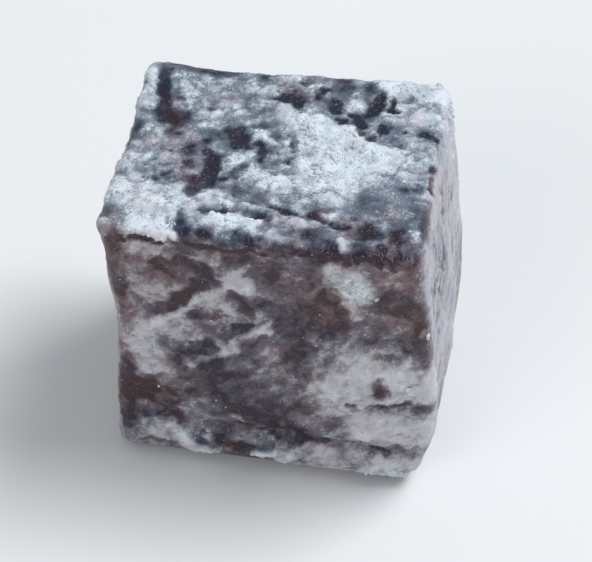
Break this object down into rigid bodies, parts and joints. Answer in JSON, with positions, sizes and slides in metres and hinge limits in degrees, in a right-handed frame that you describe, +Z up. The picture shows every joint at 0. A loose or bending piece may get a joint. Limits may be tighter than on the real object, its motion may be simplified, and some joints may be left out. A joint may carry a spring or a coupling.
{
  "type": "turkish delight cube",
  "caption": "Hand-cut cube of dark Turkish delight with softly rounded, uneven faces, dusted in patches with icing sugar.",
  "frame": {"origin": "centre of the bounding box in X and Y, on the flat underside that the cube rests on", "axes": "+X to the right across the wide cut front, -Y out of the front, +Z up through the slab's thickness"},
  "size_m": [0.0318, 0.0252, 0.0312],
  "materials": {
    "sugared_jelly": "dark aubergine jelly, faintly glossy where bare, under a patchy matt coat of cool white icing sugar: about three quarters covered on top, mauve grey and thin on the front"
  },
  "bodies": {
    "root": {"turkish_delight_cube": "sugared_jelly"}
  },
  "joints": []
}
